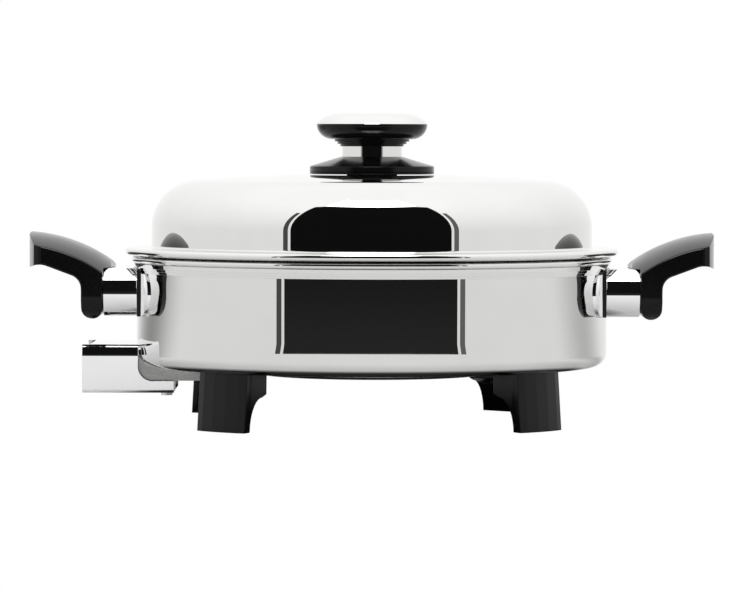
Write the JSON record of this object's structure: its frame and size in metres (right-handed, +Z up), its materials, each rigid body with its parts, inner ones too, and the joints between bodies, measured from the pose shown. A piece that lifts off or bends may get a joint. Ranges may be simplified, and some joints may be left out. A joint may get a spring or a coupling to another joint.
{
  "type": "electric skillet",
  "caption": "Round liquid-core electric skillet with high domed lid, vent knob, side handles, moulded feet and a guarded plug-in inlet.",
  "frame": {"origin": "on the table under the centre of the pan", "axes": "+Z up, X along the two handles with the inlet guard at -X, the front at -Y"},
  "size_m": [0.4334, 0.3126, 0.1956],
  "materials": {
    "polished_steel": "mirror polished stainless steel",
    "brushed": "satin stainless steel",
    "chrome_trim": "chrome plate",
    "phenolic": "glossy black phenolic",
    "ceramic": "glazed ceramic",
    "sheath": "dark oxidised sheath",
    "brass": "turned brass",
    "zinc_screws": "zinc plated",
    "seal_rubber": "matte fibre and silicone",
    "red_silicone": "matte silicone"
  },
  "bodies": {
    "base": {"inner_pan": "polished_steel", "outer_shell": "polished_steel", "rim_band": "polished_steel", "heating_element": "sheath", "element_clips": "brushed", "seal_bushes": "brass", "terminal_box": "brushed", "terminal_block": "ceramic", "terminal_pins": "chrome_trim", "probe_well": "brushed", "probe_guard": "chrome_trim", "guard_spacers": "zinc_screws", "guard_screws": "zinc_screws", "base_cover": "brushed", "oil_plug": "zinc_screws", "plug_gasket": "seal_rubber", "foot_front_left": "phenolic", "foot_front_right": "phenolic", "foot_rear_left": "phenolic", "foot_rear_right": "phenolic", "foot_studs": "zinc_screws", "foot_nuts": "zinc_screws", "handle_left": "phenolic", "handle_right": "phenolic", "ferrule_left": "chrome_trim", "ferrule_right": "chrome_trim", "bracket_left": "chrome_trim", "bracket_right": "chrome_trim", "handle_screws": "zinc_screws"},
    "lid": {"lid_shell": "polished_steel", "lid_ring": "polished_steel", "knob_base": "phenolic", "knob_collar": "chrome_trim", "knob_gasket": "seal_rubber", "knob_bushing": "brass", "knob_nut": "brass"},
    "grip": {"knob_grip": "phenolic", "knob_cap": "polished_steel", "vent_stem": "zinc_screws", "stem_nut": "zinc_screws", "vent_disc": "red_silicone", "stem_clip": "zinc_screws"}
  },
  "joints": [
    {"name": "lid_lift", "type": "slide", "parent": "base", "child": "lid", "axis": [0, 0, 1], "range_m": [0, 0.12]},
    {"name": "vent_push", "type": "slide", "parent": "lid", "child": "grip", "axis": [0, 0, 1], "range_m": [-0.006, 0]}
  ]
}
